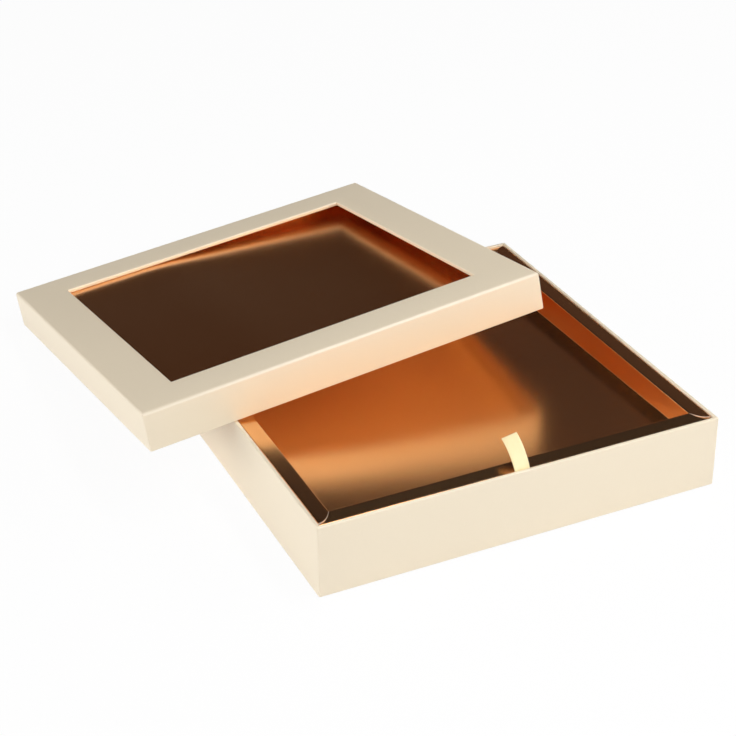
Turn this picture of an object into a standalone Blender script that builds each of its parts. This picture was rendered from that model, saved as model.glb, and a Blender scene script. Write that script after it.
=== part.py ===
"""Rigid gift box: a wrapped board tray, a folded metallised card insert with a
ribbon pull, and a framed lid that lies askew across the tray.

The origin is the middle of the tray's underside, on the table. X runs along
the front, Y to the back and Z up. Lengths are in metres.
"""
import math

import bmesh
import bpy
from mathutils import Matrix, Vector

# Papers, boards and clearances
PAPER = 0.0002            # wrapping and lining paper
STAY_PAPER = 0.0001       # gummed tape round the board's corners
BOARD = 0.0012            # greyboard
CARD = 0.0005             # metallised card
GLUE_GAP = 0.0002         # between layers that are pasted together
SEAT_GAP = 0.0003         # between pieces that rest on each other
EDGE_RADIUS = 0.0006      # wrapped outer edges
EDGE_SEGMENTS = 3
FOLD_ANGLE = math.radians(60)  # sharper turns than this are rounded

# Tray base
BASE_WIDTH = 0.250
BASE_DEPTH = 0.254
BASE_HEIGHT = 0.045
BASE_TURN_IN = 0.015      # wrap paper folded down inside the walls
LINER_HEIGHT = 0.012      # upturned margin of the floor liner

# Corner stays
STAY_REACH = 0.014        # along each wall
STAY_INSET = 0.0010       # short of the wall's top and bottom
STAY_RADIUS = 0.00035

# Lid
LID_HEIGHT = 0.024
LID_CLEARANCE = 0.0004    # on each side of the base
LID_FRAME = 0.029         # width of the frame round the window
LID_TURN_IN = 0.012       # wrap paper folded up inside the skirt
WINDOW_TURN_IN = 0.010    # wrap paper folded under round the window
PANEL_CLEARANCE = 0.0004  # round the metallised panel
PANEL_HELD = 0.078        # still pasted under the frame, from the lid's left end
PANEL_BEND = 0.030        # length over which the loose part turns down
PANEL_SLOPE = 0.050       # fall of the loose part, for each length along it
PANEL_STRIPS = 16         # across the panel, so that it can bend

# How the lid lies across the base
LID_OVERHANG = 0.0520     # lid's left end to the place that rests on the left wall
LID_REACH = 0.1305        # lid's front to the place that rests on the back wall
LID_SEAT_Y = 0.1190       # place on the left wall, from the base's front

# Folded card insert
RIDGE_DROP = 0.0005       # ridge below the base's rim
FLANGE_WIDTH = 0.0096
TRAY_DEPTH = 0.0142
WALL_LEAN = math.radians(9)    # walls open outwards on their way up
FLOOR_TILT = 0.0020       # floor's back edge below its middle, and front edge above
FLOOR_SAG = 0.0022        # the thin floor hangs a little in its middle
INSERT_FIT = 0.0004       # beside the base's walls
RIDGE_RADIUS = 0.0007
SHOULDER_RADIUS = 0.0010  # fold from the flange to the leg
END_FLANGE_DROP = 0.0008  # front and back flanges dip under the side ones
MITRE_BOW = 2.2           # power of the bowed mitre, 1 is straight
MITRE_RELIEF = 0.0012     # side flanges stop short of the end legs
MITRE_GAP = 0.0005        # between one flange's end and the next
LEG_TAPER = 0.004         # each leg's end leans in on its way down
PANEL_DIVISIONS = 8       # card panels are divided so that they can sag
FLANGE_DIVISIONS = 6      # across a flange, for its bowed end

# Ribbon pull
RIBBON_WIDTH = 0.0092
RIBBON_THICKNESS = 0.0006 # two plies of satin
RIBBON_X = -0.0016        # middle of the ribbon
RIBBON_TAIL = 0.0260      # length pasted to the insert's front leg
TAB_LENGTH = 0.0205
TAB_ROOT_ANGLE = math.radians(58)
TAB_TIP_ANGLE = math.radians(20)
TAB_TWIST = math.radians(16)
TAB_DIVISIONS = 10

CUT_OVERRUN = 0.002       # cutters run past the faces that they cut

# Places that follow from the sizes above
SIDE_INSET = PAPER + GLUE_GAP + STAY_PAPER + GLUE_GAP   # outer face to a wall board
FACE_INSET = PAPER + GLUE_GAP                           # outer face to a floor or top board
RIM = SIDE_INSET + BOARD + GLUE_GAP + PAPER             # whole thickness of a wall
FLOOR_TOP = FACE_INSET + BOARD + GLUE_GAP + PAPER       # lined floor of the base
LID_LENGTH = BASE_DEPTH + 2 * (LID_CLEARANCE + RIM)     # the lid lies turned a quarter
LID_WIDTH = BASE_WIDTH + 2 * (LID_CLEARANCE + RIM)
REVEAL = FACE_INSET + BOARD + GLUE_GAP + PAPER          # lid's top to the turned-in paper
PANEL_TOP = LID_HEIGHT - REVEAL - GLUE_GAP
LID_HOLLOW = PANEL_TOP - CARD                           # depth inside the lid
RIDGE_Z = BASE_HEIGHT - RIDGE_DROP
RIBBON_SLOT = RIBBON_THICKNESS + 2 * SEAT_GAP           # between front wall and front leg
INSERT_FRONT = -BASE_DEPTH / 2 + RIM + RIBBON_SLOT
INSERT_BACK = BASE_DEPTH / 2 - RIM - INSERT_FIT
INSERT_MIDDLE = (INSERT_FRONT + INSERT_BACK) / 2
TRAY_LENGTH_X = BASE_WIDTH - 2 * (RIM + INSERT_FIT + FLANGE_WIDTH)
TRAY_LENGTH_Y = INSERT_BACK - INSERT_FRONT - 2 * FLANGE_WIDTH
RIBBON_Y = -BASE_DEPTH / 2 + RIM + SEAT_GAP + RIBBON_THICKNESS / 2
TAB_ROOT_Z = BASE_HEIGHT
LEG_FOOT = FLOOR_TOP + SEAT_GAP


def start_scene():
    """Empty the scene and make the collections for the parts and the cutters."""
    for old in list(bpy.data.objects):
        bpy.data.objects.remove(old)
    made = []
    for name in ("lid_and_tray_box", "cutters"):
        collection = bpy.data.collections.new(name)
        bpy.context.scene.collection.children.link(collection)
        made.append(collection)
    return made


def make_material(name, color, roughness, metallic=0.0):
    material = bpy.data.materials.new(name)
    material.use_nodes = True
    shader = material.node_tree.nodes["Principled BSDF"]
    shader.inputs["Base Color"].default_value = (*color, 1.0)
    shader.inputs["Roughness"].default_value = roughness
    shader.inputs["Metallic"].default_value = metallic
    return material


def add_object(name, bm, material, collection=None, parent=None):
    """Turn a bmesh into a named object and free the bmesh."""
    mesh = bpy.data.meshes.new(name)
    bm.to_mesh(mesh)
    bm.free()
    mesh.materials.append(material)
    obj = bpy.data.objects.new(name, mesh)
    (collection or PARTS).objects.link(obj)
    obj.parent = parent
    return obj


def add_empty(name, matrix, parent=None):
    """An empty whose matrix is counted from its parent's."""
    empty = bpy.data.objects.new(name, None)
    PARTS.objects.link(empty)
    empty.parent = parent
    empty.matrix_local = matrix
    return empty


def paste_thickness(obj, thickness):
    """Give an open surface its thickness, behind the face that shows."""
    solidify = obj.modifiers.new("thickness", "SOLIDIFY")
    solidify.thickness = thickness
    solidify.offset = -1
    solidify.use_even_offset = True


def soften_folds(bm, radius):
    """Round the outward folds of an open surface."""
    bm.normal_update()
    folds = [edge for edge in bm.edges if edge.is_manifold and edge.is_convex
             and edge.calc_face_angle() > FOLD_ANGLE]
    bmesh.ops.bevel(bm, geom=folds, offset=radius, offset_type="OFFSET", affect="EDGES",
                    segments=EDGE_SEGMENTS, profile=0.5, clamp_overlap=False)


def box_shell(width, depth, low, high, open_side):
    """A cuboid's faces, centred in X and Y, with its top (1) or bottom (-1) left open."""
    bm = bmesh.new()
    bmesh.ops.create_cube(bm, size=1.0)
    bmesh.ops.scale(bm, vec=(width, depth, high - low), verts=bm.verts)
    bmesh.ops.translate(bm, vec=(0, 0, (high + low) / 2), verts=bm.verts)
    opened = [face for face in bm.faces if face.normal.z * open_side > 0.5]
    bmesh.ops.delete(bm, geom=opened, context="FACES")
    return bm


def hem(bm, edges, inward, rise):
    """Fold paper on from a rectangular edge: towards the middle by inward, up by rise."""
    grown = bmesh.ops.extrude_edge_only(bm, edges=edges)["geom"]
    for vert in (item for item in grown if isinstance(item, bmesh.types.BMVert)):
        vert.co.x -= inward * math.copysign(1, vert.co.x)
        vert.co.y -= inward * math.copysign(1, vert.co.y)
        vert.co.z += rise
    return [item for item in grown if isinstance(item, bmesh.types.BMEdge) and item.is_boundary]


def build_corner_stays(prefix, width, depth, low, high, material, parent=None):
    """Gummed paper round the outside of a board's four corners."""
    for end_name, end in (("front", -1), ("back", 1)):
        for side_name, side in (("left", -1), ("right", 1)):
            bm = bmesh.new()
            bmesh.ops.create_cube(bm, size=1.0)
            bmesh.ops.scale(bm, vec=(STAY_REACH, STAY_REACH, high - low), verts=bm.verts)
            away = [face for face in bm.faces
                    if face.normal.x * side < 0.5 and face.normal.y * end < 0.5]
            bmesh.ops.delete(bm, geom=away, context="FACES")
            middle = (side * (width - STAY_REACH) / 2, end * (depth - STAY_REACH) / 2,
                      (high + low) / 2)
            bmesh.ops.translate(bm, vec=middle, verts=bm.verts)
            soften_folds(bm, STAY_RADIUS)
            stay = add_object(f"{prefix}_stay_{end_name}_{side_name}", bm, material, parent=parent)
            paste_thickness(stay, STAY_PAPER)


def build_base(board, pearl, liner, tape):
    """The tray: board, corner stays, outer wrap and floor liner."""
    bm = box_shell(BASE_WIDTH - 2 * SIDE_INSET, BASE_DEPTH - 2 * SIDE_INSET,
                   FACE_INSET, BASE_HEIGHT - FACE_INSET, open_side=1)
    paste_thickness(add_object("base_board", bm, board), BOARD)

    bm = box_shell(BASE_WIDTH, BASE_DEPTH, 0, BASE_HEIGHT, open_side=1)
    rim_edge = hem(bm, [edge for edge in bm.edges if edge.is_boundary], RIM, 0)
    hem(bm, rim_edge, 0, -BASE_TURN_IN)
    soften_folds(bm, EDGE_RADIUS)
    paste_thickness(add_object("base_wrap", bm, pearl), PAPER)

    inside = RIM - PAPER
    bm = box_shell(BASE_WIDTH - 2 * inside, BASE_DEPTH - 2 * inside,
                   FLOOR_TOP - PAPER, FLOOR_TOP - PAPER + LINER_HEIGHT, open_side=1)
    paste_thickness(add_object("base_liner", bm, liner), PAPER)

    build_corner_stays("base", BASE_WIDTH - 2 * FACE_INSET, BASE_DEPTH - 2 * FACE_INSET,
                       STAY_INSET, BASE_HEIGHT - STAY_INSET, tape)


def lid_rest_matrix():
    """Where the lid comes to rest across the base.

    Its front skirt lies on the left wall, its right skirt on the back wall, and
    it tips about the line through both until its far corner meets the table, or
    its underside meets the base's back corner.
    """
    front, left = -LID_WIDTH / 2, -LID_LENGTH / 2
    seat_a = Vector((left + LID_OVERHANG, front + RIM, 0))
    seat_b = Vector((-left - RIM, front + LID_REACH, 0))
    corner = Vector((left, -front, 0))
    span = (seat_b - seat_a).length
    across = BASE_DEPTH - LID_SEAT_Y
    along = math.sqrt(span ** 2 - across ** 2)
    rim_z = BASE_HEIGHT + SEAT_GAP
    rest_a = Vector((-BASE_WIDTH / 2, LID_SEAT_Y - BASE_DEPTH / 2, rim_z))
    rest_b = Vector((-BASE_WIDTH / 2 + along, BASE_DEPTH / 2, rim_z))

    hinge_local = (seat_b - seat_a).normalized()
    back_local = Vector((-hinge_local.y, hinge_local.x, 0))
    hinge = (rest_b - rest_a).normalized()
    level = Vector((-hinge.y, hinge.x, 0))
    to_table = BASE_HEIGHT / back_local.dot(corner - seat_a)
    to_corner = LID_HOLLOW / (across * hinge.x)
    tip = math.asin(min(to_table, to_corner))
    back = level * math.cos(tip) - Vector((0, 0, math.sin(tip)))

    local_axes = Matrix((hinge_local, back_local, hinge_local.cross(back_local)))
    world_axes = Matrix((hinge, back, hinge.cross(back))).transposed()
    turn = world_axes @ local_axes
    return Matrix.Translation(rest_a - turn @ seat_a) @ turn.to_4x4()


def panel_droop(x):
    """How far the lid's panel has come down from its frame, at a place along the lid."""
    loose = max(x + LID_LENGTH / 2 - PANEL_HELD, 0)
    if loose < PANEL_BEND:
        return PANEL_SLOPE * loose ** 2 / (2 * PANEL_BEND)
    return PANEL_SLOPE * (loose - PANEL_BEND / 2)


def build_lid(board, pearl, copper, tape):
    """The lid, modelled upright about its own middle and laid down by its empty."""
    seat = add_empty("lid_seat", lid_rest_matrix())

    bm = box_shell(LID_LENGTH - 2 * SIDE_INSET, LID_WIDTH - 2 * SIDE_INSET,
                   FACE_INSET, LID_HEIGHT - FACE_INSET, open_side=-1)
    lid_board = add_object("lid_board", bm, board, parent=seat)
    paste_thickness(lid_board, BOARD)
    bm = bmesh.new()
    bmesh.ops.create_cube(bm, size=1.0)
    board_frame = LID_FRAME - FACE_INSET
    bmesh.ops.scale(bm, vec=(LID_LENGTH - 2 * board_frame, LID_WIDTH - 2 * board_frame,
                             2 * (BOARD + CUT_OVERRUN)), verts=bm.verts)
    bmesh.ops.translate(bm, vec=(0, 0, LID_HEIGHT - FACE_INSET), verts=bm.verts)
    cutter = add_object("lid_window_cutter", bm, board, CUTTERS, seat)
    cutter.hide_render = True
    cutter.display_type = "WIRE"
    cut = lid_board.modifiers.new("window", "BOOLEAN")
    cut.operation = "DIFFERENCE"
    cut.solver = "EXACT"
    cut.object = cutter

    bm = box_shell(LID_LENGTH, LID_WIDTH, 0, LID_HEIGHT, open_side=-1)
    skirt_edge = [edge for edge in bm.edges if edge.is_boundary]
    top = [face for face in bm.faces if face.normal.z > 0.5]
    bmesh.ops.inset_individual(bm, faces=top, thickness=LID_FRAME, use_even_offset=True)
    window_edge = list(top[0].edges)
    bmesh.ops.delete(bm, geom=top, context="FACES_ONLY")
    reveal_edge = hem(bm, window_edge, 0, -REVEAL)
    hem(bm, reveal_edge, -WINDOW_TURN_IN, 0)
    skirt_edge = hem(bm, skirt_edge, RIM, 0)
    hem(bm, skirt_edge, 0, LID_TURN_IN)
    soften_folds(bm, EDGE_RADIUS)
    paste_thickness(add_object("lid_wrap", bm, pearl, parent=seat), PAPER)

    bm = bmesh.new()
    bmesh.ops.create_grid(bm, x_segments=PANEL_STRIPS, y_segments=1, size=0.5)
    around = 2 * (RIM + PANEL_CLEARANCE)
    for vert in bm.verts:
        x = vert.co.x * (LID_LENGTH - around)
        vert.co = Vector((x, vert.co.y * (LID_WIDTH - around), PANEL_TOP - panel_droop(x)))
    paste_thickness(add_object("lid_panel", bm, copper, parent=seat), CARD)

    build_corner_stays("lid", LID_LENGTH - 2 * FACE_INSET, LID_WIDTH - 2 * FACE_INSET,
                       STAY_INSET, LID_HEIGHT - STAY_INSET, tape, seat)


def side_reach(out):
    """How far a side flange's end runs past the ridge corner, at a distance out from the ridge."""
    share = min(out / FLANGE_WIDTH, 1.0)
    return (FLANGE_WIDTH - MITRE_RELIEF) * (1 - (1 - share) ** MITRE_BOW)


def end_reach(out):
    """The same for a front or back flange, cut to clear the side flange's bowed end."""
    share = min(out / (FLANGE_WIDTH - MITRE_RELIEF), 1.0)
    met = FLANGE_WIDTH * (1 - (1 - share) ** (1 / MITRE_BOW))
    return met - min(MITRE_GAP, out)


def flange_profile(drop):
    """Distances out from the wall and up from the ridge's centre, along a flange and its fold."""
    shares = [step / EDGE_SEGMENTS for step in range(1, EDGE_SEGMENTS + 1)]
    quarter = [math.pi / 2 * share for share in shares]
    over_ridge = [WALL_LEAN + (math.pi / 2 - WALL_LEAN) * share for share in shares]
    points = [(RIDGE_RADIUS * (1 - math.cos(turn)), RIDGE_RADIUS * math.sin(turn))
              for turn in over_ridge]
    flat = FLANGE_WIDTH - RIDGE_RADIUS - SHOULDER_RADIUS
    for step in range(1, FLANGE_DIVISIONS + 1):
        share = step / FLANGE_DIVISIONS
        points.append((RIDGE_RADIUS + flat * share, RIDGE_RADIUS - drop * share))
    for turn in quarter:
        points.append((FLANGE_WIDTH - SHOULDER_RADIUS * (1 - math.sin(turn)),
                       RIDGE_RADIUS - drop - SHOULDER_RADIUS * (1 - math.cos(turn))))
    return points


def fold_flange(bm, edges, outward, drop, reach):
    """Fold a flange out from one side's wall top, then its leg down to the floor."""
    lengthwise = Vector((abs(outward.y), abs(outward.x), 0))
    starts = {vert for edge in edges for vert in edge.verts}
    half = max(vert.co.dot(lengthwise) for vert in starts)
    centre = RIDGE_Z - RIDGE_RADIUS
    wall = max(vert.co.dot(outward) for vert in starts)
    stations = [(out, centre + up, reach(out)) for out, up in flange_profile(drop)]
    out, foot, end = stations[-1]
    stations.append((out, LEG_FOOT, end - LEG_TAPER))
    for out, height, end in stations:
        grown = bmesh.ops.extrude_edge_only(bm, edges=edges)["geom"]
        verts = [item for item in grown if isinstance(item, bmesh.types.BMVert)]
        last = max(vert.co.dot(lengthwise) for vert in verts)
        for vert in verts:
            along = vert.co.dot(lengthwise) * (half + end) / last
            vert.co = lengthwise * along + outward * (wall + out) + Vector((0, 0, height))
        edges = [item for item in grown if isinstance(item, bmesh.types.BMEdge)
                 and all(vert in verts for vert in item.verts)]


def build_insert(copper):
    """One folded card: sagging floor, four leaning walls, four mitred flanges and their legs."""
    seat = add_empty("insert_seat", Matrix.Translation((0, INSERT_MIDDLE, 0)))
    inset = TRAY_DEPTH * math.tan(WALL_LEAN)
    floor_x, floor_y = TRAY_LENGTH_X - 2 * inset, TRAY_LENGTH_Y - 2 * inset
    bm = bmesh.new()
    bmesh.ops.create_grid(bm, x_segments=PANEL_DIVISIONS, y_segments=PANEL_DIVISIONS, size=0.5)
    for vert in bm.verts:
        hang = (1 - (2 * vert.co.x) ** 2) * (1 - (2 * vert.co.y) ** 2)
        down = TRAY_DEPTH + FLOOR_TILT * 2 * vert.co.y + FLOOR_SAG * hang
        vert.co = Vector((vert.co.x * floor_x, vert.co.y * floor_y, RIDGE_Z - down))
    rim = [edge for edge in bm.edges if edge.is_boundary]
    grown = bmesh.ops.extrude_edge_only(bm, edges=rim)["geom"]
    top_verts = [item for item in grown if isinstance(item, bmesh.types.BMVert)]
    for vert in top_verts:
        vert.co.x *= TRAY_LENGTH_X / floor_x
        vert.co.y *= TRAY_LENGTH_Y / floor_y
        vert.co.z = RIDGE_Z - RIDGE_RADIUS * (1 - math.sin(WALL_LEAN))
    top_edges = [item for item in grown if isinstance(item, bmesh.types.BMEdge)
                 and all(vert in top_verts for vert in item.verts)]
    for outward, drop, reach in (
            (Vector((-1, 0, 0)), 0, side_reach), (Vector((1, 0, 0)), 0, side_reach),
            (Vector((0, -1, 0)), END_FLANGE_DROP, end_reach),
            (Vector((0, 1, 0)), END_FLANGE_DROP, end_reach)):
        far = max(vert.co.dot(outward) for vert in top_verts)
        side = [edge for edge in top_edges
                if all(abs(vert.co.dot(outward) - far) < SEAT_GAP for vert in edge.verts)]
        fold_flange(bm, side, outward, drop, reach)
    paste_thickness(add_object("insert_tray", bm, copper, parent=seat), CARD)
    return seat


def build_ribbon(satin, insert_seat):
    """The tail pasted to the insert's front leg, and the free tab, whose empty is its bend line."""
    root = Vector((RIBBON_X, RIBBON_Y - INSERT_MIDDLE, TAB_ROOT_Z))
    tail_middle = root - Vector((0, 0, RIBBON_THICKNESS / 2 + SEAT_GAP + RIBBON_TAIL / 2))
    bm = bmesh.new()
    bmesh.ops.create_cube(bm, size=1.0)
    bmesh.ops.scale(bm, vec=(RIBBON_WIDTH, RIBBON_THICKNESS, RIBBON_TAIL), verts=bm.verts)
    bmesh.ops.translate(bm, vec=tail_middle, verts=bm.verts)
    add_object("ribbon_tail", bm, satin, parent=insert_seat)

    hinge = add_empty("tab_hinge", Matrix.Translation(root), insert_seat)
    bm = bmesh.new()
    bmesh.ops.create_grid(bm, x_segments=2, y_segments=TAB_DIVISIONS, size=0.5)
    turn = TAB_ROOT_ANGLE - TAB_TIP_ANGLE
    radius = TAB_LENGTH / turn
    for vert in bm.verts:
        share = vert.co.y + 0.5
        angle = TAB_ROOT_ANGLE - turn * share
        twist = TAB_TWIST * share
        middle = Vector((0, radius * (math.sin(TAB_ROOT_ANGLE) - math.sin(angle)),
                         radius * (math.cos(angle) - math.cos(TAB_ROOT_ANGLE))))
        face = Vector((0, -math.sin(angle), math.cos(angle)))
        across = Vector((math.cos(twist), 0, 0)) + face * math.sin(twist)
        vert.co = middle + across * vert.co.x * RIBBON_WIDTH
    tab = add_object("ribbon_tab", bm, satin, parent=hinge)
    ply = tab.modifiers.new("plies", "SOLIDIFY")
    ply.thickness = RIBBON_THICKNESS
    ply.offset = 0
    ply.use_even_offset = True


PARTS, CUTTERS = start_scene()
greyboard = make_material("greyboard", (0.42, 0.40, 0.37), 0.9)
pearl_paper = make_material("pearl_paper", (0.87, 0.80, 0.66), 0.4)
liner_paper = make_material("liner_paper", (0.85, 0.82, 0.74), 0.7)
stay_tape = make_material("stay_tape", (0.62, 0.50, 0.34), 0.8)
copper_card = make_material("copper_card", (0.72, 0.33, 0.16), 0.25, metallic=1.0)
satin_ribbon = make_material("satin_ribbon", (0.95, 0.84, 0.56), 0.35)

build_base(greyboard, pearl_paper, liner_paper, stay_tape)
build_ribbon(satin_ribbon, build_insert(copper_card))
build_lid(greyboard, pearl_paper, copper_card, stay_tape)
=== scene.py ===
import math
from collections import Counter

import bmesh
import bpy
from mathutils import Matrix, Vector


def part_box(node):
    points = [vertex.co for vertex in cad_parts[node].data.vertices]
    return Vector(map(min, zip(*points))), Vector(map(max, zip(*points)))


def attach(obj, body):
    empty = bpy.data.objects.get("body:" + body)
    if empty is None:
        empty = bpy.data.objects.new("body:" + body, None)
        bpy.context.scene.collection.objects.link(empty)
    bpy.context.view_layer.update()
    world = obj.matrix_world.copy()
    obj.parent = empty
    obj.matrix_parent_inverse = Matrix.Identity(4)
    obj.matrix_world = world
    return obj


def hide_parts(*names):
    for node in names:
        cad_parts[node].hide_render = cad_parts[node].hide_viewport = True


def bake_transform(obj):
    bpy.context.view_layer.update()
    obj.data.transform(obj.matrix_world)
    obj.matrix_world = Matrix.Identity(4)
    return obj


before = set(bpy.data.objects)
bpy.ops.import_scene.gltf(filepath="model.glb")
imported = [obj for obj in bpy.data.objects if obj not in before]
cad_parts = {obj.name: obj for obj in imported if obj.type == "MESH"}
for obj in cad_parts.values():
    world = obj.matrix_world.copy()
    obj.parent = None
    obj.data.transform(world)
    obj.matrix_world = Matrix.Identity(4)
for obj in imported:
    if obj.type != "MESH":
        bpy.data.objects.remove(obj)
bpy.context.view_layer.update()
scene = bpy.context.scene


# Small helpers

def linear(hexColor):
    channels = [int(hexColor[i:i + 2], 16) / 255 for i in (1, 3, 5)]
    return [c / 12.92 if c <= 0.04045 else ((c + 0.055) / 1.055) ** 2.4 for c in channels] + [1.0]


def addPiece(name, bm, materials, place=None):
    mesh = bpy.data.meshes.new(name)
    if place:
        bm.transform(place)     # the place goes into the mesh
    bm.normal_update()
    bm.to_mesh(mesh)
    bm.free()
    for material in materials:
        mesh.materials.append(material)
    mesh.shade_smooth()
    piece = bpy.data.objects.new(name, mesh)
    scene.collection.objects.link(piece)
    return piece


def solidify(piece, thickness, backSlot=0, rimSlot=0):
    wall = piece.modifiers.new("thickness", "SOLIDIFY")
    wall.thickness = thickness
    wall.offset = -1
    wall.use_even_offset = True
    wall.material_offset = backSlot
    wall.material_offset_rim = rimSlot


def keepSharp(piece, degrees):
    # Creases and cut edges stay crisp, so that no rounding shows beside them
    mesh = piece.data
    mesh.set_sharp_from_angle(angle=math.radians(degrees))
    sides = [key for polygon in mesh.polygons for key in polygon.edge_keys]
    shared = {key for key, count in Counter(sides).items() if count > 1}
    for edge in mesh.edges:
        if edge.key not in shared:
            edge.use_edge_sharp = True


# Shader building

def newMaterial(name):
    material = bpy.data.materials.new(name)
    material.use_nodes = True
    return material, material.node_tree, material.node_tree.nodes["Principled BSDF"]


def addNode(tree, kind, **settings):
    node = tree.nodes.new(kind)
    for key, value in settings.items():
        if key in node.inputs:
            node.inputs[key].default_value = value
        else:
            setattr(node, key, value)
    return node


def placeGroup(tree, group, **values):
    node = tree.nodes.new("ShaderNodeGroup")
    node.node_tree = group
    for key, value in values.items():
        node.inputs[key].default_value = value
    return node


def startGroup(name, inputs, outputs):
    group = bpy.data.node_groups.new(name, "ShaderNodeTree")
    for label, kind, value in inputs:
        socket = group.interface.new_socket(label, in_out="INPUT", socket_type=kind)
        if value is not None:
            socket.default_value = value
    for label, kind in outputs:
        group.interface.new_socket(label, in_out="OUTPUT", socket_type=kind)
    return group, group.nodes.new("NodeGroupInput"), group.nodes.new("NodeGroupOutput")


def bumpFrom(tree, shader, height, strength, distance):
    bump = addNode(tree, "ShaderNodeBump", Strength=strength, Distance=distance)
    tree.links.new(height, bump.inputs["Height"])
    tree.links.new(bump.outputs["Normal"], shader.inputs["Normal"])


def makeFibreGroup():
    # Fine fibres and a slow cloudiness, for every paper, board and tape here
    look = {"fibreDetail": 3.0, "fibreRoughness": 0.6, "cloudScale": 9.0, "cloudDetail": 1.5,
            "middle": 0.5, "spread": 2.0}
    group, entry, out = startGroup(
        "paperFibre",
        [("Color", "NodeSocketColor", None), ("Grain", "NodeSocketFloat", 2500.0),
         ("Mottle", "NodeSocketFloat", 0.04), ("Cloud", "NodeSocketFloat", 0.02)],
        [("Color", "NodeSocketColor"), ("Height", "NodeSocketFloat")])
    link = group.links.new
    where = group.nodes.new("ShaderNodeTexCoord")
    fibre = addNode(group, "ShaderNodeTexNoise", Detail=look["fibreDetail"],
                    Roughness=look["fibreRoughness"])
    cloud = addNode(group, "ShaderNodeTexNoise", Scale=look["cloudScale"],
                    Detail=look["cloudDetail"])
    link(where.outputs["Object"], fibre.inputs["Vector"])
    link(where.outputs["Object"], cloud.inputs["Vector"])
    link(entry.outputs["Grain"], fibre.inputs["Scale"])
    shares = []
    for noiseNode, amount in ((fibre, "Mottle"), (cloud, "Cloud")):
        centred = addNode(group, "ShaderNodeMath", operation="SUBTRACT")
        centred.inputs[1].default_value = look["middle"]
        scaled = addNode(group, "ShaderNodeMath", operation="MULTIPLY")
        link(noiseNode.outputs["Fac"], centred.inputs[0])
        link(centred.outputs[0], scaled.inputs[0])
        link(entry.outputs[amount], scaled.inputs[1])
        shares.append(scaled)
    total = addNode(group, "ShaderNodeMath", operation="ADD")
    gain = addNode(group, "ShaderNodeMath", operation="MULTIPLY_ADD")
    gain.inputs[1].default_value = look["spread"]
    gain.inputs[2].default_value = 1.0
    tint = addNode(group, "ShaderNodeVectorMath", operation="SCALE")
    link(shares[0].outputs[0], total.inputs[0])
    link(shares[1].outputs[0], total.inputs[1])
    link(total.outputs[0], gain.inputs[0])
    link(entry.outputs["Color"], tint.inputs[0])
    link(gain.outputs[0], tint.inputs["Scale"])
    link(tint.outputs["Vector"], out.inputs["Color"])
    link(fibre.outputs["Fac"], out.inputs["Height"])
    return group


paperFibre = makeFibreGroup()


def makePaper(name, color, roughness, mottle, cloud, relief, grain=2500.0, pearl=False):
    look = {"pearlIor": 1.7, "pearlGlance": 1.0, "fibreHeight": 0.0001}
    material, tree, shader = newMaterial(name)
    fibre = placeGroup(tree, paperFibre, Color=color, Grain=grain, Mottle=mottle, Cloud=cloud)
    tree.links.new(fibre.outputs["Color"], shader.inputs["Base Color"])
    shader.inputs["Roughness"].default_value = roughness
    if pearl:     # the pigment's glance is a strong one
        shader.inputs["IOR"].default_value = look["pearlIor"]
        shader.inputs["Specular IOR Level"].default_value = look["pearlGlance"]
    bumpFrom(tree, shader, fibre.outputs["Height"], relief, look["fibreHeight"])
    return material


def makeCopperFilm():
    # Metallised film on card: warm copper, with the faint unevenness of the card under it
    look = {"color": linear("#E7B076"), "roughness": 0.22, "unevenness": 0.03,
            "grain": 900.0, "grainDetail": 2.0, "waviness": 24.0, "waveDetail": 1.0,
            "waveStrength": 0.25, "waveHeight": 0.0004}
    material, tree, shader = newMaterial("copperFilm")
    link = tree.links.new
    where = tree.nodes.new("ShaderNodeTexCoord")
    fine = addNode(tree, "ShaderNodeTexNoise", Scale=look["grain"], Detail=look["grainDetail"])
    broad = addNode(tree, "ShaderNodeTexNoise", Scale=look["waviness"], Detail=look["waveDetail"])
    rough = addNode(tree, "ShaderNodeMapRange")
    rough.inputs["To Min"].default_value = look["roughness"] - look["unevenness"]
    rough.inputs["To Max"].default_value = look["roughness"] + look["unevenness"]
    link(where.outputs["Object"], fine.inputs["Vector"])
    link(where.outputs["Object"], broad.inputs["Vector"])
    link(fine.outputs["Fac"], rough.inputs["Value"])
    link(rough.outputs["Result"], shader.inputs["Roughness"])
    shader.inputs["Base Color"].default_value = look["color"]
    shader.inputs["Metallic"].default_value = 1.0
    bumpFrom(tree, shader, broad.outputs["Fac"], look["waveStrength"], look["waveHeight"])
    return material


def makeSatin():
    look = {"color": linear("#FBE7A8"), "threadColor": linear("#FFF3C9"), "threads": 3200.0,
            "unevenness": 0.6, "roughness": 0.38, "sheen": 0.25, "threadStrength": 0.3,
            "threadHeight": 0.00004}
    material, tree, shader = newMaterial("satinRibbon")
    link = tree.links.new
    where = addNode(tree, "ShaderNodeUVMap", uv_map="UVMap")
    threads = addNode(tree, "ShaderNodeTexWave", Scale=look["threads"],
                      Distortion=look["unevenness"])
    threads.bands_direction = "X"
    link(where.outputs["UV"], threads.inputs["Vector"])
    tint = addNode(tree, "ShaderNodeMix", data_type="RGBA")
    tint.inputs["A"].default_value = look["color"]
    tint.inputs["B"].default_value = look["threadColor"]
    link(threads.outputs["Fac"], tint.inputs["Factor"])
    link(tint.outputs["Result"], shader.inputs["Base Color"])
    shader.inputs["Roughness"].default_value = look["roughness"]
    shader.inputs["Sheen Weight"].default_value = look["sheen"]
    bumpFrom(tree, shader, threads.outputs["Fac"], look["threadStrength"], look["threadHeight"])
    return material


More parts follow.
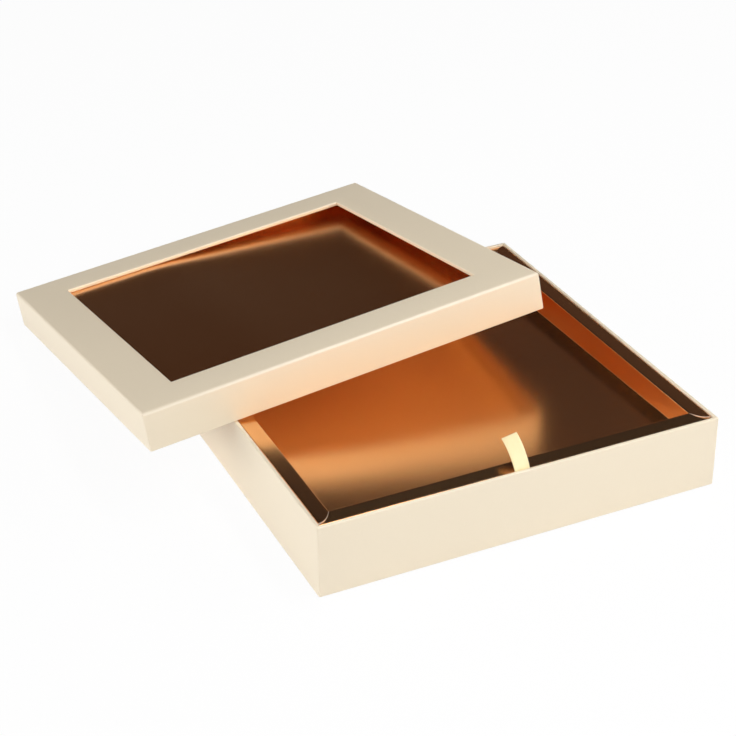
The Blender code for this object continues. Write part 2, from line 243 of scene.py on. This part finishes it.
pearlPaper = makePaper("pearlPaper", linear("#EFE1C6"), roughness=0.46, mottle=0.03, cloud=0.02,
                       relief=0.10, pearl=True)
linerPaper = makePaper("linerPaper", linear("#EEE9DD"), roughness=0.75, mottle=0.05, cloud=0.03,
                       relief=0.25)
greyBoard = makePaper("greyBoard", linear("#A9A39A"), roughness=0.9, mottle=0.25, cloud=0.08,
                      relief=0.6, grain=1400.0)
kraftTape = makePaper("kraftTape", linear("#C4A377"), roughness=0.8, mottle=0.15, cloud=0.05,
                      relief=0.4, grain=1800.0)
cutCard = makePaper("cutCard", linear("#F1DCCB"), roughness=0.8, mottle=0.06, cloud=0.0,
                    relief=0.3)
cardBack = makePaper("cardBack", linear("#F6F1E6"), roughness=0.85, mottle=0.08, cloud=0.03,
                     relief=0.3)
copperFilm = makeCopperFilm()
satinRibbon = makeSatin()
print("materials made")


# Where the lid lies, read off three of its corner stays, and the local size of its wrap

def nodePoints(node):
    return [vert.co.copy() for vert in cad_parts[node].data.vertices]


def middleOf(points):
    return sum(points, Vector()) / len(points)


def readLidPlace():
    nearLeft = middleOf(nodePoints("lid_stay_front_left"))
    nearRight = middleOf(nodePoints("lid_stay_front_right"))
    farLeft = middleOf(nodePoints("lid_stay_back_left"))
    along = (nearRight - nearLeft).normalized()
    up = along.cross(farLeft - nearLeft).normalized()
    turn = Matrix((along, up.cross(along), up)).transposed()
    local = [turn.inverted() @ point for point in nodePoints("lid_wrap")]
    low = Vector([min(p[i] for p in local) for i in range(3)])
    high = Vector([max(p[i] for p in local) for i in range(3)])
    origin = turn @ Vector(((low.x + high.x) / 2, (low.y + high.y) / 2, low.z))
    return Matrix.Translation(origin) @ turn.to_4x4(), high - low


lidPlace, lidSize = readLidPlace()
baseLow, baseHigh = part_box("base_wrap")
insertLow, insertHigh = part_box("insert_tray")


# Wrapped shells: paper swept round the tray and the lid, corner by corner

def ringPoints(width, depth, radius, height, steps):
    points = []
    for cornerX, cornerY, start in ((1, 1, 0), (-1, 1, 90), (-1, -1, 180), (1, -1, 270)):
        for step in range(steps + 1):
            angle = math.radians(start + 90 * step / steps)
            points.append((cornerX * (width / 2 - radius) + radius * math.cos(angle),
                           cornerY * (depth / 2 - radius) + radius * math.sin(angle), height))
    return points


def sweepShell(width, depth, stations, steps, capFirst=False, closed=False):
    # stations: how far in from the outer faces, the height and the ring's corner radius
    bm = bmesh.new()
    rings = []
    for inset, height, radius in stations:
        points = ringPoints(width - 2 * inset, depth - 2 * inset, radius, height, steps)
        rings.append([bm.verts.new(point) for point in points])
    for ring, nextRing in zip(rings, rings[1:] + rings[:1] * closed):
        for i in range(len(ring)):
            j = (i + 1) % len(ring)
            bm.faces.new((ring[i], ring[j], nextRing[j], nextRing[i]))
    if capFirst:
        bm.faces.new(list(reversed(rings[0])))
    return bm


def arc(insetMiddle, heightMiddle, radius, fromDegrees, toDegrees, steps):
    # Points of an edge's rounding, as inset and height
    points = []
    for step in range(steps + 1):
        angle = math.radians(fromDegrees + (toDegrees - fromDegrees) * step / steps)
        points.append((insetMiddle - radius * math.cos(angle),
                       heightMiddle + radius * math.sin(angle)))
    return points


leastCorner = 0.0002


def withCorners(points, cornerRadius):
    return [(inset, height, max(cornerRadius - inset, leastCorner)) for inset, height in points]


def makeBaseWrap():
    size = {"paper": 0.0002, "rim": 0.0023, "edge": 0.0008, "foot": 0.0007, "innerEdge": 0.0006,
            "corner": 0.0011, "turnIn": 0.015, "underside": 0.02, "cornerSteps": 6, "edgeSteps": 5}
    top = baseHigh.z
    points = [(size["underside"], 0.0)]
    points += arc(size["foot"], size["foot"], size["foot"], -90, 0, size["edgeSteps"])
    points += arc(size["edge"], top - size["edge"], size["edge"], 0, 90, size["edgeSteps"])
    points += [(size["rim"] - inset, height) for inset, height in
               reversed(arc(size["innerEdge"], top - size["innerEdge"], size["innerEdge"],
                            0, 90, size["edgeSteps"]))]
    points.append((size["rim"], top - size["turnIn"]))
    bm = sweepShell(baseHigh.x - baseLow.x, baseHigh.y - baseLow.y,
                    withCorners(points, size["corner"]), size["cornerSteps"], capFirst=True)
    wrap = addPiece("baseWrap", bm, [pearlPaper])
    solidify(wrap, size["paper"])
    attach(wrap, "base")
    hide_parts("base_wrap")


def widenWindow(bm, frameWidth):
    # The frame's far side is a little narrower than the others
    narrower = 0.0012
    for vert in bm.verts:
        if 0 < vert.co.y < lidSize.y / 2 - frameWidth / 2:
            vert.co.y += narrower


def faceInside(bm, ceiling, inset):
    # The frame's underside is faced with copper film, which the panel under it mirrors as deep red
    nearly = 0.00001
    limitX, limitY = lidSize.x / 2 - inset + nearly, lidSize.y / 2 - inset + nearly
    for face in bm.faces:
        if all(vert.co.z < ceiling + nearly and abs(vert.co.x) < limitX
               and abs(vert.co.y) < limitY for vert in face.verts):
            face.material_index = 1


def makeLidWrap():
    size = {"paper": 0.0002, "rim": 0.0023, "edge": 0.0020, "skirtEdge": 0.0006,
            "corner": 0.0012, "frame": 0.029, "reveal": 0.0026, "windowLip": 0.0008,
            "windowFoot": 0.0002, "windowCorner": 0.0004, "windowTurnIn": 0.010, "turnIn": 0.012,
            "cornerSteps": 6, "edgeSteps": 6, "lipSteps": 5, "skirtSteps": 4, "rimSteps": 3}
    top, edge, lip, foot = lidSize.z, size["edge"], size["windowLip"], size["windowFoot"]
    window, under = size["frame"], lidSize.z - size["reveal"]
    points = [(window - size["windowTurnIn"], under), (window - foot, under),
              (window, under + foot)]
    points += [(window - inset, height) for inset, height in
               arc(lip, top - lip, lip, 0, 90, size["lipSteps"])]
    points += list(reversed(arc(edge, top - edge, edge, 0, 90, size["edgeSteps"])))
    skirt, rim = size["skirtEdge"], size["rim"]
    points += arc(skirt, skirt, skirt, 0, -90, size["skirtSteps"])
    points += arc(rim - skirt, skirt, skirt, -90, -180, size["rimSteps"])
    points.append((rim, size["turnIn"]))
    stations = []
    for inset, height, radius in withCorners(points, size["corner"]):
        atWindow = inset > edge + lip and height > top / 2
        stations.append((inset, height, size["windowCorner"] if atWindow else radius))
    bm = sweepShell(lidSize.x, lidSize.y, stations, size["cornerSteps"])
    bmesh.ops.reverse_faces(bm, faces=bm.faces)     # this profile runs outwards first
    widenWindow(bm, size["frame"])
    faceInside(bm, under, window - size["windowTurnIn"])
    wrap = addPiece("lidWrap", bm, [pearlPaper, copperFilm], lidPlace)
    solidify(wrap, size["paper"])
    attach(wrap, "lid")
    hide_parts("lid_wrap")


def makeLidBoard():
    # Rounded like the paper over it, so that it stays under the paper at the lid's edge
    size = {"under": 0.0004, "board": 0.0012, "edge": 0.0016, "frame": 0.0286, "corner": 0.0012,
            "cornerSteps": 6, "edgeSteps": 6, "sharpDegrees": 40}
    low, inner, edge = size["under"], size["under"] + size["board"], size["edge"]
    top, ceiling = lidSize.z - size["under"], lidSize.z - size["under"] - size["board"]
    innerEdge = edge - size["board"]
    points = [(low, low)] + arc(low + edge, top - edge, edge, 0, 90, size["edgeSteps"])
    points += [(size["frame"], top), (size["frame"], ceiling)]
    points += arc(inner + innerEdge, ceiling - innerEdge, innerEdge, 90, 0, size["edgeSteps"])
    points.append((inner, low))
    bm = sweepShell(lidSize.x, lidSize.y, withCorners(points, size["corner"]),
                    size["cornerSteps"], closed=True)
    widenWindow(bm, size["frame"])
    faceInside(bm, ceiling, inner)
    board = addPiece("lidBoard", bm, [greyBoard, copperFilm], lidPlace)
    keepSharp(board, size["sharpDegrees"])
    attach(board, "lid")
    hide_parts("lid_board")


makeBaseWrap()
makeLidWrap()
makeLidBoard()
print("wraps made")


# The lid's copper panel: a card pasted under the frame on the left, whose right part has come down

def droopAt(x, share, size):
    # A gentle bend, then a straight run down to the right edge, steeper at the near end (share 0)
    run = x - size["bendAt"]
    bend = size["bendLength"]
    slope = size["nearSlope"] + (size["farSlope"] - size["nearSlope"]) * share
    if run <= 0:
        return 0.0
    if run < bend:
        return slope * run * run / (2 * bend)
    return slope * (run - bend / 2)


def makeLidPanel():
    size = {"card": 0.0005, "below": 0.0028, "margin": 0.0027, "bendAt": -0.052,
            "bendLength": 0.03, "nearSlope": 0.070, "farSlope": 0.053, "divisions": 60}
    length, width = lidSize.x - 2 * size["margin"], lidSize.y - 2 * size["margin"]
    high = lidSize.z - size["below"]
    bm = bmesh.new()
    bmesh.ops.create_grid(bm, x_segments=size["divisions"], y_segments=size["divisions"], size=0.5)
    for vert in bm.verts:
        x, share = vert.co.x * length, vert.co.y + 0.5
        vert.co = Vector((x, vert.co.y * width, high - droopAt(x, share, size)))
    panel = addPiece("lidPanelCard", bm, [copperFilm, cardBack, cutCard], lidPlace)
    solidify(panel, size["card"], backSlot=1, rimSlot=2)
    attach(panel, "lid")
    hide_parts("lid_panel")


makeLidPanel()
print("lid panel made")


# The folded card insert: floor, walls, mitred flanges and legs in one sheet

card = {"thickness": 0.0005, "flange": 0.0096, "depth": 0.0142, "tilt": 0.0020, "sag": 0.0022,
        "lean": math.radians(9), "foldRadius": 0.0006, "ridgeRadius": 0.0007, "shoulder": 0.0005,
        "endDrop": 0.0008, "bow": 2.2, "relief": 0.0012, "gap": 0.0002, "legTaper": 0.004,
        "legShares": (0.3, 0.65, 1.0), "divisions": 48, "foldSteps": 5, "turnSteps": 6,
        "flangeSteps": 10, "sharpDegrees": 50}


# How far each flange reaches along its wall: the side ones bow at the mitre, the end ones meet them

def sideReach(out):
    share = min(out / card["flange"], 1.0)
    return (card["flange"] - card["relief"]) * (1 - (1 - share) ** card["bow"])


def endReach(out):
    share = min(out / (card["flange"] - card["relief"]), 1.0)
    return card["flange"] * (1 - (1 - share) ** (1 / card["bow"])) - min(card["gap"], out)


def flangeProfile(drop):
    # Over the ridge, out along the flange and down into the leg, as distance out and height
    radius, shoulder, lean = card["ridgeRadius"], card["shoulder"], card["lean"]
    shares = [step / card["turnSteps"] for step in range(1, card["turnSteps"] + 1)]
    over = [lean + (math.pi / 2 - lean) * share for share in shares]
    quarter = [math.pi / 2 * share for share in shares]
    points = [(radius * (1 - math.cos(turn)), radius * math.sin(turn)) for turn in over]
    flat = card["flange"] - radius - shoulder
    for step in range(1, card["flangeSteps"] + 1):
        share = step / card["flangeSteps"]
        points.append((radius + flat * share, radius - drop * share))
    for turn in quarter:
        points.append((card["flange"] - shoulder * (1 - math.sin(turn)),
                       radius - drop - shoulder * (1 - math.cos(turn))))
    return points


def extrudeRow(bm, edges):
    grown = bmesh.ops.extrude_edge_only(bm, edges=edges)["geom"]
    verts = [item for item in grown if isinstance(item, bmesh.types.BMVert)]
    rows = [item for item in grown if isinstance(item, bmesh.types.BMEdge)
            and all(vert in verts for vert in item.verts)]
    return verts, rows


def foldFlange(bm, edges, outward, wall, half, drop, reach, ridge, foot):
    lengthwise = Vector((abs(outward.y), abs(outward.x), 0))
    base = ridge - card["ridgeRadius"]
    stations = [(out, base + up, reach(out)) for out, up in flangeProfile(drop)]
    out, height, end = stations[-1]
    stations += [(out, height + (foot - height) * share, end - card["legTaper"] * share)
                 for share in card["legShares"]]
    for out, height, end in stations:
        verts, edges = extrudeRow(bm, edges)
        last = max(vert.co.dot(lengthwise) for vert in verts)
        for vert in verts:
            along = vert.co.dot(lengthwise) * (half + end) / last
            vert.co = lengthwise * along + outward * (wall + out) + Vector((0, 0, height))


def makeInsert():
    centre = Vector(((insertLow.x + insertHigh.x) / 2, (insertLow.y + insertHigh.y) / 2, 0))
    wallX = (insertHigh.x - insertLow.x) / 2 - card["flange"]
    wallY = (insertHigh.y - insertLow.y) / 2 - card["flange"]
    inset = card["depth"] * math.tan(card["lean"])
    halfX, halfY = wallX - inset, wallY - inset
    ridge, foot, fold, lean = insertHigh.z, insertLow.z, card["foldRadius"], card["lean"]
    nearly = 0.00001
    bm = bmesh.new()
    bmesh.ops.create_grid(bm, x_segments=card["divisions"], y_segments=card["divisions"], size=1.0)
    for vert in bm.verts:
        u, v = vert.co.x, vert.co.y
        hang = card["sag"] * (1 - u * u) * (1 - v * v)
        vert.co = Vector((u * halfX, v * halfY, ridge - card["depth"] - card["tilt"] * v - hang))
    edges = [edge for edge in bm.edges if edge.is_boundary]
    turns = [(math.pi / 2 - lean) * step / card["foldSteps"]
             for step in range(1, card["foldSteps"] + 1)]
    rows = [(fold * math.sin(turn), fold * (1 - math.cos(turn)), None) for turn in turns]
    top = ridge - card["ridgeRadius"] * (1 - math.sin(lean))
    rows.append((inset + card["ridgeRadius"] * (1 - math.cos(lean)), None, top))
    before = (0.0, 0.0)
    for out, rise, height in rows:
        verts, edges = extrudeRow(bm, edges)
        for vert in verts:
            vert.co.x *= (halfX + out) / (halfX + before[0])
            vert.co.y *= (halfY + out) / (halfY + before[0])
            vert.co.z = height if height else vert.co.z + rise - before[1]
        before = (out, rise)
    flanges = ((Vector((-1, 0, 0)), 0, sideReach), (Vector((1, 0, 0)), 0, sideReach),
               (Vector((0, -1, 0)), card["endDrop"], endReach),
               (Vector((0, 1, 0)), card["endDrop"], endReach))
    for outward, drop, reach in flanges:
        far = max(vert.co.dot(outward) for vert in verts) - nearly
        side = [edge for edge in edges if all(v.co.dot(outward) > far for v in edge.verts)]
        wall, half = (wallX, wallY) if outward.x else (wallY, wallX)
        foldFlange(bm, side, outward, wall, half, drop, reach, ridge, foot)
    insert = addPiece("insertCard", bm, [copperFilm, cardBack, cutCard],
                      Matrix.Translation(centre))
    keepSharp(insert, card["sharpDegrees"])
    solidify(insert, card["thickness"], backSlot=1, rimSlot=2)
    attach(insert, "insert")
    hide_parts("insert_tray")


makeInsert()
print("insert made")


# The ribbon pull: a flat band swept along its path by Geometry Nodes

def ribbonPath(size):
    # Straight up the insert's leg, then a curve that leans inwards, with a slight twist
    tailLow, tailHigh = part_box("ribbon_tail")
    x = (tailLow.x + tailHigh.x) / 2
    y = (tailLow.y + tailHigh.y) / 2
    points, tilts = [], []
    for step in range(size["tailSteps"] + 1):
        share = step / size["tailSteps"]
        points.append(Vector((x, y, tailLow.z + (size["bendZ"] - tailLow.z) * share)))
        tilts.append(0.0)
    turn = size["rootAngle"] - size["tipAngle"]
    radius = size["tab"] / turn
    start = Vector((x, y, baseHigh.z))
    for step in range(size["tabSteps"] + 1):
        share = step / size["tabSteps"]
        angle = size["rootAngle"] - turn * share
        points.append(start + Vector((0, radius * (math.sin(size["rootAngle"]) - math.sin(angle)),
                                      radius * (math.cos(angle) - math.cos(size["rootAngle"])))))
        tilts.append(-size["twist"] * share)
    return points, tilts


def makeBandTree():
    tree = bpy.data.node_groups.new("ribbonBand", "GeometryNodeTree")
    for label, kind in (("Geometry", "NodeSocketGeometry"), ("Width", "NodeSocketFloat"),
                        ("Cross Steps", "NodeSocketInt"), ("Material", "NodeSocketMaterial")):
        tree.interface.new_socket(label, in_out="INPUT", socket_type=kind)
    tree.interface.new_socket("Geometry", in_out="OUTPUT", socket_type="NodeSocketGeometry")
    nodes, link = tree.nodes, tree.links.new
    entry, out = nodes.new("NodeGroupInput"), nodes.new("NodeGroupOutput")
    half, minusHalf = (nodes.new("ShaderNodeMath") for _ in range(2))
    for part, factor in ((half, 0.5), (minusHalf, -0.5)):
        part.operation = "MULTIPLY"
        part.inputs[1].default_value = factor
    left, right = nodes.new("ShaderNodeCombineXYZ"), nodes.new("ShaderNodeCombineXYZ")
    line = nodes.new("GeometryNodeMeshLine")
    line.mode = "END_POINTS"
    across = nodes.new("GeometryNodeMeshToCurve")
    runParameter, acrossParameter = (nodes.new("GeometryNodeSplineParameter") for _ in range(2))
    keepRun, keepAcross = (nodes.new("GeometryNodeCaptureAttribute") for _ in range(2))
    for keep in (keepRun, keepAcross):
        keep.capture_items.new("FLOAT", "Length")
    band = nodes.new("GeometryNodeCurveToMesh")
    flat = nodes.new("ShaderNodeCombineXYZ")
    store = nodes.new("GeometryNodeStoreNamedAttribute")
    store.data_type = "FLOAT2"
    store.domain = "CORNER"
    store.inputs["Name"].default_value = "UVMap"
    paint = nodes.new("GeometryNodeSetMaterial")
    real = nodes.new("GeometryNodeRealizeInstances")
    link(entry.outputs["Width"], half.inputs[0])
    link(entry.outputs["Width"], minusHalf.inputs[0])
    link(minusHalf.outputs[0], left.inputs["X"])
    link(half.outputs[0], right.inputs["X"])
    link(left.outputs[0], line.inputs["Start Location"])
    link(right.outputs[0], line.inputs["Offset"])
    link(entry.outputs["Cross Steps"], line.inputs["Count"])
    link(line.outputs["Mesh"], across.inputs["Mesh"])
    link(across.outputs["Curve"], keepAcross.inputs["Geometry"])
    link(acrossParameter.outputs["Length"], keepAcross.inputs["Length"])
    link(entry.outputs["Geometry"], keepRun.inputs["Geometry"])
    link(runParameter.outputs["Length"], keepRun.inputs["Length"])
    link(keepRun.outputs["Geometry"], band.inputs["Curve"])
    link(keepAcross.outputs["Geometry"], band.inputs["Profile Curve"])
    link(keepAcross.outputs["Length"], flat.inputs["X"])
    link(keepRun.outputs["Length"], flat.inputs["Y"])
    link(band.outputs["Mesh"], store.inputs["Geometry"])
    link(flat.outputs[0], store.inputs["Value"])
    link(store.outputs["Geometry"], real.inputs["Geometry"])
    link(real.outputs["Geometry"], paint.inputs["Geometry"])
    link(entry.outputs["Material"], paint.inputs["Material"])
    link(paint.outputs["Geometry"], out.inputs["Geometry"])
    return tree


def setInput(modifier, label, value):
    for item in modifier.node_group.interface.items_tree:
        if item.item_type == "SOCKET" and item.in_out == "INPUT" and item.name == label:
            modifier[item.identifier] = value


def asPlainMesh(source, name):
    bpy.context.view_layer.update()
    evaluated = source.evaluated_get(bpy.context.evaluated_depsgraph_get())
    mesh = bpy.data.meshes.new_from_object(evaluated)
    mesh.name = name
    bpy.data.objects.remove(source)
    piece = bpy.data.objects.new(name, mesh)
    scene.collection.objects.link(piece)
    return piece


def makeRibbon():
    size = {"width": 0.0092, "thickness": 0.0005, "tab": 0.0205, "rootAngle": math.radians(58),
            "tipAngle": math.radians(20), "twist": math.radians(16), "bendZ": 0.0443,
            "tailSteps": 8, "tabSteps": 24, "crossSteps": 9}
    points, tilts = ribbonPath(size)
    curve = bpy.data.curves.new("ribbonRun", "CURVE")
    curve.dimensions = "3D"
    curve.twist_mode = "MINIMUM"
    spline = curve.splines.new("POLY")
    spline.points.add(len(points) - 1)
    for target, point, tilt in zip(spline.points, points, tilts):
        target.co = (*point, 1.0)
        target.tilt = tilt
    run = bpy.data.objects.new("ribbonRun", curve)
    scene.collection.objects.link(run)
    sweep = run.modifiers.new("ribbonBand", "NODES")
    sweep.node_group = makeBandTree()
    setInput(sweep, "Width", size["width"])
    setInput(sweep, "Cross Steps", size["crossSteps"])
    setInput(sweep, "Material", satinRibbon)
    ribbon = asPlainMesh(run, "ribbonPull")
    ribbon.data.shade_smooth()
    ply = ribbon.modifiers.new("plies", "SOLIDIFY")
    ply.thickness = size["thickness"]
    ply.offset = 0
    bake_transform(ribbon)
    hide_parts("ribbon_tail", "ribbon_tab")


makeRibbon()
print("ribbon made")


# The tray's board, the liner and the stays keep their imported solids

def paintNode(node, material):
    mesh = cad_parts[node].data
    mesh.materials.clear()
    mesh.materials.append(material)


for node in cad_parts:
    if node.endswith("_board"):
        paintNode(node, greyBoard)
    elif "_stay_" in node:
        paintNode(node, kraftTape)
    elif node == "base_liner":
        paintNode(node, linerPaper)
    elif node in ("base_wrap", "lid_wrap"):
        paintNode(node, pearlPaper)
    elif node.startswith("ribbon_"):
        paintNode(node, satinRibbon)
    else:
        paintNode(node, copperFilm)
print("packed pieces painted")


# Floor, world and lamps

def makeFloor():
    # Pale to the light, with its shadows, and near white to the camera
    look = {"half": 6.0, "below": 0.0005, "albedo": 0.9, "roughness": 0.9, "shown": 0.95}
    bm = bmesh.new()
    bmesh.ops.create_grid(bm, x_segments=1, y_segments=1, size=look["half"])
    material, tree, shader = newMaterial("studioFloor")
    shader.inputs["Base Color"].default_value = (look["albedo"],) * 3 + (1.0,)
    shader.inputs["Roughness"].default_value = look["roughness"]
    link = tree.links.new
    path = tree.nodes.new("ShaderNodeLightPath")
    seen = addNode(tree, "ShaderNodeMath", operation="ADD", use_clamp=True)
    through = addNode(tree, "ShaderNodeMath", operation="ADD", use_clamp=True)
    share = addNode(tree, "ShaderNodeMath", operation="MULTIPLY")
    share.inputs[1].default_value = look["shown"]
    link(path.outputs["Is Camera Ray"], seen.inputs[0])
    link(path.outputs["Is Glossy Ray"], seen.inputs[1])
    link(seen.outputs[0], through.inputs[0])
    link(path.outputs["Is Transmission Ray"], through.inputs[1])
    link(through.outputs[0], share.inputs[0])
    glow = addNode(tree, "ShaderNodeEmission", Strength=1.0)
    mix = tree.nodes.new("ShaderNodeMixShader")
    link(share.outputs[0], mix.inputs["Fac"])
    link(shader.outputs["BSDF"], mix.inputs[1])
    link(glow.outputs["Emission"], mix.inputs[2])
    link(mix.outputs["Shader"], tree.nodes["Material Output"].inputs["Surface"])
    floor = addPiece("studioFloor", bm, [material], Matrix.Translation((0, 0, -look["below"])))


def makeWorld():
    # White to the camera, and to the copper a dark room with a bright strip along the horizon
    stops = ((0.0, (0.35, 0.33, 0.30)), (0.11, (0.050, 0.030, 0.020)),
             (0.33, (0.050, 0.026, 0.016)), (0.485, (0.114, 0.077, 0.073)),
             (0.55, (0.014, 0.013, 0.019)))
    world = bpy.data.worlds.new("studio")
    scene.world = world
    world.use_nodes = True
    tree = world.node_tree
    link = tree.links.new
    back = tree.nodes["Background"]
    where = tree.nodes.new("ShaderNodeTexCoord")
    split = tree.nodes.new("ShaderNodeSeparateXYZ")
    room = tree.nodes.new("ShaderNodeValToRGB")
    room.color_ramp.interpolation = "EASE"
    while len(room.color_ramp.elements) < len(stops):
        room.color_ramp.elements.new(0.5)
    for element, (height, color) in zip(room.color_ramp.elements, stops):
        element.position = height
        element.color = (*color, 1.0)
    path = tree.nodes.new("ShaderNodeLightPath")
    pick = tree.nodes.new("ShaderNodeMix")
    pick.data_type = "RGBA"
    pick.inputs["B"].default_value = (1.0, 1.0, 1.0, 1.0)
    link(where.outputs["Generated"], split.inputs[0])
    link(split.outputs["Z"], room.inputs["Fac"])
    link(path.outputs["Is Camera Ray"], pick.inputs["Factor"])
    link(room.outputs["Color"], pick.inputs["A"])
    link(pick.outputs["Result"], back.inputs["Color"])
    back.inputs["Strength"].default_value = 1.0


def addSoftbox(name, place, width, height, power, along=None):
    # Every softbox looks at the middle of the box; along gives the direction of its width
    target = Vector((0.0, 0.03, 0.03))
    lamp = bpy.data.lights.new(name, "AREA")
    lamp.shape = "RECTANGLE"
    lamp.size, lamp.size_y = width, height
    lamp.energy = power
    box = bpy.data.objects.new(name, lamp)
    scene.collection.objects.link(box)
    away = (Vector(place) - target).normalized()
    up = away.cross(Vector(along)) if along else Vector((0, 0, 1))
    side = up.cross(away).normalized()
    turn = Matrix((side, away.cross(side), away)).transposed()
    box.matrix_world = Matrix.Translation(place) @ turn.to_4x4()


def makeLights():
    addSoftbox("leftSoftbox", (-1.78, 0.40, 0.58), width=2.4, height=1.05, power=26.0)
    addSoftbox("frontSoftbox", (-0.14, -1.02, 0.80), width=1.0, height=0.6, power=5.7)
    addSoftbox("frontRightSoftbox", (0.82, -1.40, 0.98), width=1.4, height=0.9, power=3.2)
    addSoftbox("rightSoftbox", (1.51, -0.52, 1.04), width=1.4, height=0.9, power=9.6)
    addSoftbox("backRightSoftbox", (1.70, 0.18, 0.86), width=1.6, height=0.9, power=6.0)
    # A long strip overhead, which the rounding of the lid's front edge mirrors as a line
    addSoftbox("topStrip", (0.29, -0.25, 1.05), width=1.25, height=0.16, power=5.2,
               along=(-0.02, 0.94, 0.30))


makeFloor()
makeWorld()
makeLights()
print("studio made")


# The camera stands where the photograph was taken from

def makeCamera():
    view = {"place": (-0.42465, -0.8465, 0.5896), "aim": (0.0020, 0.0838, 0.0),
            "rollDegrees": 0.75, "lens": 89.1, "sensor": 36.0, "nearest": 0.01}
    data = bpy.data.cameras.new("camera")
    data.lens = view["lens"]
    data.sensor_width = view["sensor"]
    data.clip_start = view["nearest"]
    camera = bpy.data.objects.new("camera", data)
    scene.collection.objects.link(camera)
    aim = (Vector(view["aim"]) - Vector(view["place"])).to_track_quat("-Z", "Y").to_matrix()
    turn = aim @ Matrix.Rotation(math.radians(-view["rollDegrees"]), 3, "Z")
    camera.matrix_world = Matrix.Translation(view["place"]) @ turn.to_4x4()
    scene.camera = camera


makeCamera()
scene.view_settings.view_transform = "Standard"
# Light that goes from copper to copper under the lid counts in full
scene.cycles.blur_glossy = 0.0
scene.cycles.glossy_bounces = 10
scene.cycles.diffuse_bounces = 8
